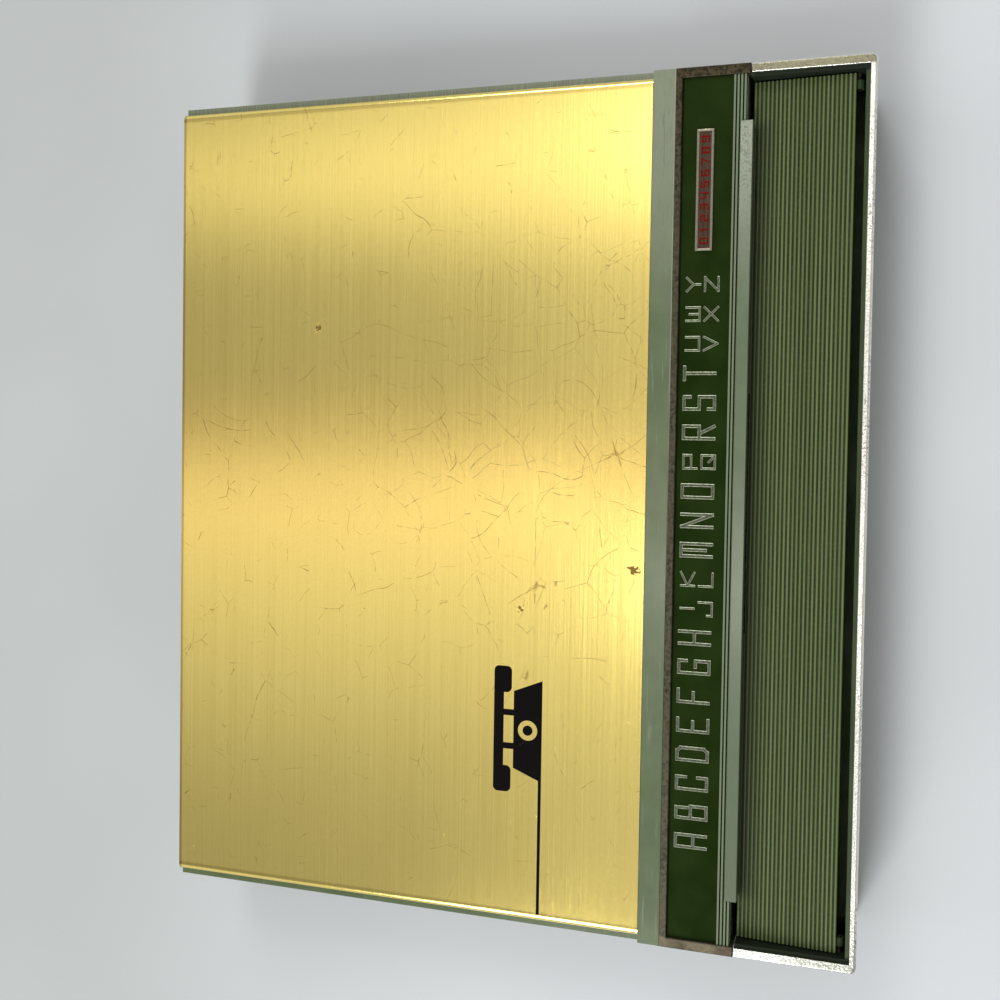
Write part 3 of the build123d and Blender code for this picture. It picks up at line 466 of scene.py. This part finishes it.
# Painted shade: dark lines along the creases of the folded ends and along the rear edge.
crease = off_middle.ramp(79.7, 80.2) * off_middle.ramp(80.3, 80.9, 1.0, 0.0)
rear_line = gold.y.ramp(70.2, 70.5)
fold_painted_shade = (crease * 0.35 + rear_line * 0.5).math("MINIMUM", 1.0)
colour = gold.mix(fold_painted_shade, colour, srgb(120, 98, 44))
gold.paint("Base Color", colour)
gold.paint("Roughness", patch * 0.04 + streak * 0.02 + pits * 0.3 + scratch * 0.1 + 0.1)
gold.paint("Normal", gold.relief(brush * 0.8 + streak * 0.2 - pits * 3.0, 0.00001))
gold.give(node["gold_plate"])

# ------------------------------------------------------------------ telephone sign
# A plain sign of a desk telephone on its base line, screen printed in black ink, with
# pinholes where the ink has flaked.
black = Finish("black_print", Roughness=0.5)
black.skin.inputs["Specular IOR Level"].default_value = 0.04
grain = black.noise(0.4, 3.0)
pinhole = black.noise(0.55, 2.0).ramp(0.76, 0.8)
colour = black.mix(grain, srgb(6, 4, 5), srgb(15, 11, 11))
black.paint("Base Color", black.mix(pinhole, colour, srgb(150, 124, 64)))
black.paint("Roughness", grain.ramp(0.3, 0.7, 0.45, 0.7))
black.give(node["telephone_mark"])

# ------------------------------------------------------------------ trim round the strip
# A bent strip of plated metal round three sides of the index strip. The plating has gone
# brown, most at the right end, and a thin bright line along its rear edge is a painted highlight.
tarnish = Finish("tarnished_plating", Metallic=0.85)
stain = tarnish.noise(0.55, 4.0)
blotch = tarnish.noise(5.0, 3.0).ramp(0.35, 0.65)
right_end = tarnish.x.ramp(40.0, 82.0)
left_arm = tarnish.x.ramp(-81.2, -80.8, 1.0, 0.0)
spotted = stain.ramp(0.36, 0.64)
colour = tarnish.mix(spotted, srgb(48, 46, 33), srgb(86, 84, 66))
colour = tarnish.mix(blotch * 0.5, colour, srgb(84, 78, 60))
brown = tarnish.mix(spotted, srgb(30, 23, 10), srgb(78, 67, 44))
colour = tarnish.mix(right_end * 0.7, colour, brown)
brown = tarnish.mix(blotch, srgb(108, 99, 80), srgb(58, 50, 35))
colour = tarnish.mix(left_arm * 0.7, colour, brown)
# Painted highlight: a thin pale line along the trim's rear edge, over its right part.
rub_and_highlight = tarnish.y.ramp(-35.08, -34.95) * tarnish.x.ramp(-30.0, 50.0)
colour = tarnish.mix(rub_and_highlight * 0.8, colour, srgb(206, 208, 190))
tarnish.paint("Base Color", colour)
tarnish.paint("Roughness", stain.ramp(0.3, 0.7, 0.38, 0.6))
tarnish.paint("Normal", tarnish.relief(stain, 0.00004))
tarnish.give(node["strip_bezel"])

# ------------------------------------------------------------------ index strip
# A dark green plastic moulding, held down by the trim. Its four raised ridges are rubbed to
# a pale grey-green along the top.
strip = Finish("dark_green_strip")
strip.skin.inputs["Specular IOR Level"].default_value = 0.02
rub_and_highlight = strip.noise(1.0, 3.0, strip.grain(8.0, 0.3, 1.0))
ridge = (strip.z + rub_and_highlight * 0.12 - 0.06).ramp(23.5, 23.66)
cloud = strip.noise(8.0, 3.0).ramp(0.3, 0.7)
lint = strip.noise(0.4, 2.0).ramp(0.72, 0.78)
colour = strip.mix(cloud, srgb(25, 39, 8), srgb(33, 48, 15))
colour = strip.mix(lint * 0.25, colour, srgb(96, 104, 78))
colour = strip.mix(ridge, colour, srgb(116, 127, 102))
strip.paint("Base Color", colour)
strip.paint("Roughness", ridge * 0.15 + cloud * 0.06 + 0.2)
strip.paint("Normal", strip.relief(strip.noise(0.5, 3.0), 0.000006))
strip.give(node["index_strip"])

# ------------------------------------------------------------------ letters
# The letters are moulded on the strip. Their sloped edges are painted pale as a painted
# highlight, and their flat tops are a darker grey-green.
# Painted highlight: the letters' sloped edges are coloured pale.
letter_edge_highlight = Finish("letter_foil", Metallic=0.5, Roughness=0.4)
edge_tone = letter_edge_highlight.noise(0.6, 3.0).ramp(0.45, 0.72)
letter_edge_highlight.paint("Base Color", letter_edge_highlight.mix(edge_tone, srgb(146, 152, 126), srgb(100, 110, 80)))
letter_face = Finish("letter_top", Roughness=0.4)
grain = letter_face.noise(0.4, 3.0).ramp(0.4, 0.65)
letter_face.paint("Base Color", letter_face.mix(grain, srgb(40, 52, 24), srgb(84, 92, 66)))
letters = bpy.data.objects.new("moulded_letters", node["index_letters"].data.copy())
letters.data.materials.clear()
letters.data.materials.append(letter_edge_highlight.material)
letters.data.materials.append(letter_face.material)
bpy.context.collection.objects.link(letters)
edge_width = 0.0001
edge_drop = 0.00004
merge_distance = 0.000001
shape = bmesh.new()
shape.from_mesh(letters.data)
bmesh.ops.remove_doubles(shape, verts=shape.verts, dist=merge_distance)
shape.normal_update()
tops = [face for face in shape.faces if face.normal.z > 0.9]
bmesh.ops.inset_region(
    shape, faces=tops, thickness=edge_width, depth=-edge_drop, use_even_offset=True
)
for face in shape.faces:
    face.material_index = 0
for face in tops:
    face.material_index = 1
shape.to_mesh(letters.data)
shape.free()
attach(letters, "lid")
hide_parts("index_letters")

# ------------------------------------------------------------------ number plate
# A small plated tray with a bevelled rim, a brown brushed floor and plain digits printed in
# dark red.
mm = 1000.0
low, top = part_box("number_plate")
middle_x, middle_y = (mm * (low[axis] + top[axis]) / 2 for axis in (0, 1))
reach_x, reach_y = (mm * (top[axis] - low[axis]) / 2 for axis in (0, 1))
rim_middle = 0.22
rim_half = 0.24
plate_metal = Finish("number_plate_metal", Metallic=0.9)
wear = plate_metal.noise(0.5, 3.0)
brushed = plate_metal.noise(1.0, 3.0, plate_metal.grain(6.0, 0.1, 1.0))
to_end = (plate_metal.x - middle_x).math("ABSOLUTE") - (reach_x - rim_middle)
to_side = (plate_metal.y - middle_y).math("ABSOLUTE") - (reach_y - rim_middle)
from_rim = to_end.math("MAXIMUM", to_side)
rim = from_rim.ramp(-rim_half, 0.04 - rim_half)
bevel = rim * (rim_half - from_rim.math("ABSOLUTE"))
floor = plate_metal.mix(brushed.ramp(0.3, 0.7), srgb(58, 44, 32), srgb(84, 68, 54))
worn = plate_metal.mix(wear, srgb(160, 155, 134), srgb(112, 106, 88))
plate_metal.paint("Base Color", plate_metal.mix(rim, floor, worn))
plate_metal.paint("Roughness", wear.ramp(0.2, 0.8, 0.3, 0.48))
plate_metal.paint("Normal", plate_metal.relief(bevel + brushed * 0.1, 0.0002))
plate_metal.give(node["number_plate"])
red = Finish("red_print", Roughness=0.5)
red.skin.inputs["Specular IOR Level"].default_value = 0.03
red.paint("Base Color", red.mix(red.noise(0.4, 3.0), srgb(104, 3, 3), srgb(124, 10, 8)))
red.give(node["number_digits"])

# ------------------------------------------------------------------ liner card
# Grey-brown card, cut to the space between the lid's walls and glued under its roof. Its
# fibres run along X.
liner = Finish("liner_card", Roughness=0.9)
fibre = liner.noise(0.5, 4.0, liner.grain(2.0, 1.0, 1.0))
liner.paint("Base Color", liner.mix(fibre, srgb(166, 150, 122), srgb(188, 172, 142)))
liner.paint("Normal", liner.relief(fibre, 0.00002))
liner.give(node["lid_liner"])

# ------------------------------------------------------------------ leaves
# Cream card leaves with printed writing lines, each on the rod by two arms with bored ends.
# Their front edges and tabs are darker where they have been handled.
card = Finish("cream_card", Roughness=0.85)
fibre = card.noise(0.6, 4.0)
tone = card.noise(25.0, 3.0).ramp(0.3, 0.7)
handled = card.y.ramp(-44.0, -28.0, 1.0, 0.0) * card.noise(5.0, 3.0).ramp(0.35, 0.7)
line_pitch = 7.0
row = (card.y * (1 / line_pitch)).math("FRACT")
margin = (63.8, 64.0)
first_line = (-33.0, -32.9)
writing_area = card.x.math("ABSOLUTE").ramp(*margin, 1.0, 0.0) * card.y.ramp(*first_line)
ruled = row.ramp(0.0, 0.03) * row.ramp(0.03, 0.06, 1.0, 0.0) * writing_area
colour = card.mix(tone, srgb(226, 218, 190), srgb(214, 204, 172))
colour = card.mix(handled * 0.5, colour, srgb(188, 174, 138))
colour = card.mix(ruled * 0.7, colour, srgb(120, 140, 130))
card.paint("Base Color", colour)
card.paint("Normal", card.relief(fibre, 0.00001))
leaf_names = [name for name in node if name.startswith("leaf_") and name != "leaf_rod"]
card.give(*(node[name] for name in leaf_names))

# ------------------------------------------------------------------ letters on the tabs
# Each leaf's tab carries its letter or pair in black, printed flat on the card, and the
# wide tab the plain numbers. One node tree makes them all from their words.
print_ink = Finish("tab_ink", Roughness=0.8)
faded = print_ink.noise(0.3, 3.0)
print_ink.paint("Base Color", print_ink.mix(faded, srgb(26, 26, 24), srgb(52, 50, 46)))
tree = bpy.data.node_groups.new("tab_letter", "GeometryNodeTree")
tree.interface.new_socket("Geometry", in_out="INPUT", socket_type="NodeSocketGeometry")
words_in = tree.interface.new_socket("Words", in_out="INPUT", socket_type="NodeSocketString")
size_in = tree.interface.new_socket("Size", in_out="INPUT", socket_type="NodeSocketFloat")
place_in = tree.interface.new_socket("Place", in_out="INPUT", socket_type="NodeSocketVector")
tree.interface.new_socket("Geometry", in_out="OUTPUT", socket_type="NodeSocketGeometry")
group_in = tree.nodes.new("NodeGroupInput")
group_out = tree.nodes.new("NodeGroupOutput")
words = tree.nodes.new("GeometryNodeStringToCurves")
words.align_x = "CENTER"
words.align_y = "MIDDLE"
realized = tree.nodes.new("GeometryNodeRealizeInstances")
filled = tree.nodes.new("GeometryNodeFillCurve")
moved = tree.nodes.new("GeometryNodeTransform")
inked = tree.nodes.new("GeometryNodeSetMaterial")
inked.inputs["Material"].default_value = print_ink.material
tree.links.new(group_in.outputs["Words"], words.inputs["String"])
tree.links.new(group_in.outputs["Size"], words.inputs["Size"])
tree.links.new(group_in.outputs["Place"], moved.inputs["Translation"])
tree.links.new(words.outputs["Curve Instances"], filled.inputs["Curve"])
tree.links.new(filled.outputs["Mesh"], moved.inputs["Geometry"])
tree.links.new(moved.outputs["Geometry"], realized.inputs["Geometry"])
tree.links.new(realized.outputs["Geometry"], inked.inputs["Geometry"])
tree.links.new(inked.outputs["Geometry"], group_out.inputs["Geometry"])
first_tab_x = -0.06227
tab_pitch = 0.00553
wide_tab_x = 0.0603
tab_middle = 0.0027
letter_size = 0.0042
pair_size = 0.0034
ink_height = 0.00001
tab_reach = 0.001
lettered = sorted(name for name in leaf_names if name != "leaf_numbers")
for index, name in enumerate([*lettered, "leaf_numbers"]):
    front_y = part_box(name)[0][1]
    label = "0123456789" if name == "leaf_numbers" else name[5:].upper()
    tab_x = wide_tab_x if name == "leaf_numbers" else first_tab_x + tab_pitch * index
    tab_y = front_y + tab_middle
    # The leaf's highest point can be its knuckle on the rod, so only its tab is looked at.
    tab_points = (v.co for v in node[name].data.vertices if v.co.y < front_y + tab_reach)
    card_top = max(point.z for point in tab_points)
    maker = bpy.data.objects.new("maker", bpy.data.meshes.new("maker"))
    bpy.context.collection.objects.link(maker)
    modifier = maker.modifiers.new("tab_letter", "NODES")
    modifier.node_group = tree
    modifier[words_in.identifier] = label
    modifier[size_in.identifier] = pair_size if len(label) == 2 else letter_size
    modifier[place_in.identifier] = (tab_x, tab_y, card_top + ink_height)
    bpy.context.view_layer.update()
    finished = maker.evaluated_get(bpy.context.evaluated_depsgraph_get())
    made = bpy.data.meshes.new_from_object(finished)
    bpy.data.objects.remove(maker)
    letter = bpy.data.objects.new("tab_" + name[5:], made)
    bpy.context.collection.objects.link(letter)
    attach(letter, name)
